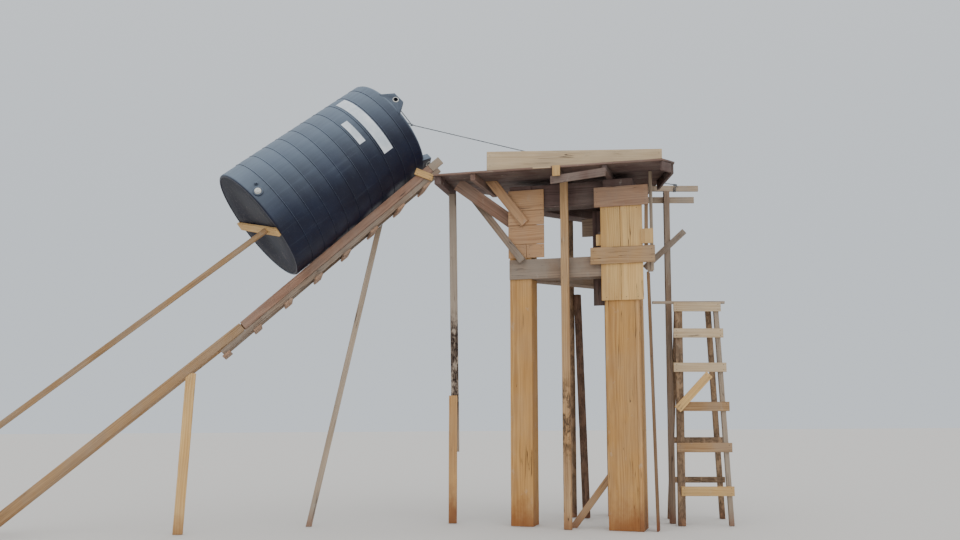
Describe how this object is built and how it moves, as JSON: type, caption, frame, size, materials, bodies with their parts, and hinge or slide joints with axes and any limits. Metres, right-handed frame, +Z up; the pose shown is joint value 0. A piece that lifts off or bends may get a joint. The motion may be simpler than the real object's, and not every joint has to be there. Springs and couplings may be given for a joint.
{
  "type": "water tower under construction with a tank on a timber ramp",
  "caption": "Three-legged concrete tower in board forms with plank deck and props, a trestle ladder, and a ribbed plastic water tank lying on a timber ramp up to the deck.",
  "frame": {"origin": "middle of the left column's foot, on the ground", "axes": "+Z up, +X level along the ramp towards the tower, -Y the side the facade and the ladder are seen from"},
  "size_m": [12.3122, 3.462, 6.6667],
  "materials": {
    "concrete": "raw concrete, cast in board forms",
    "fresh_boards": "rough sawn, new",
    "tan_boards": "rough sawn, dusty",
    "grey_boards": "rough sawn, weathered grey",
    "dark_boards": "rough sawn, damp and stained",
    "red_boards": "rough sawn, reddish hardwood",
    "bark_wood": "slabs and poles with bark on",
    "tank_plastic": "moulded black plastic with a soft sheen",
    "white_plastic": "moulded white plastic",
    "rope": "laid rope, dusty"
  },
  "bodies": {
    "root": {"concrete_frame": "concrete", "left_column_form": "tan_boards", "right_column_form": "tan_boards", "rear_column_form": "tan_boards", "front_tie_beam_form": "grey_boards", "left_tie_beam_form": "grey_boards", "right_tie_beam_form": "grey_boards", "front_deck_beam_form": "dark_boards", "left_deck_beam_form": "dark_boards", "right_deck_beam_form": "dark_boards", "left_head_boards": "tan_boards", "right_head_boards": "fresh_boards", "front_tie_face_board": "grey_boards", "right_back_board": "dark_boards", "right_top_collar": "tan_boards", "right_middle_collar": "grey_boards", "left_deck_joist": "dark_boards", "middle_deck_joist": "dark_boards", "right_deck_joist": "dark_boards", "deck_end_beam": "dark_boards", "deck_planks_left": "dark_boards", "deck_planks_right": "dark_boards", "front_upstand": "fresh_boards", "rear_upstand": "fresh_boards", "needle_board": "tan_boards", "lower_needle_board": "grey_boards", "right_post": "fresh_boards", "middle_prop": "fresh_boards", "left_prop_lower": "fresh_boards", "left_prop_upper": "bark_wood", "near_rail_lower": "tan_boards", "near_rail_upper": "red_boards", "near_rail_splice": "tan_boards", "far_rail_lower": "tan_boards", "far_rail_upper": "red_boards", "ramp_cleats_and_chords": "tan_boards", "ramp_head_cleat": "fresh_boards", "ramp_post": "bark_wood", "ramp_raking_prop": "fresh_boards", "tank_wall": "tank_plastic", "tank_base": "tank_plastic", "tank_roof": "tank_plastic", "tank_lid": "tank_plastic", "tank_outlet": "white_plastic", "front_strut": "tan_boards", "wide_strut": "red_boards", "grey_strut": "grey_boards", "deck_ledger": "tan_boards", "rear_pole": "bark_wood", "leaning_pole": "bark_wood", "foot_brace": "tan_boards", "right_raking_board": "red_boards", "right_hanger": "fresh_boards", "right_diagonal_brace": "grey_boards", "ladder_front_frame": "tan_boards", "ladder_rear_frame": "grey_boards", "ladder_top_bar": "grey_boards", "ladder_diagonal_plank": "tan_boards", "haul_rope": "rope", "push_prop": "tan_boards"}
  },
  "joints": []
}
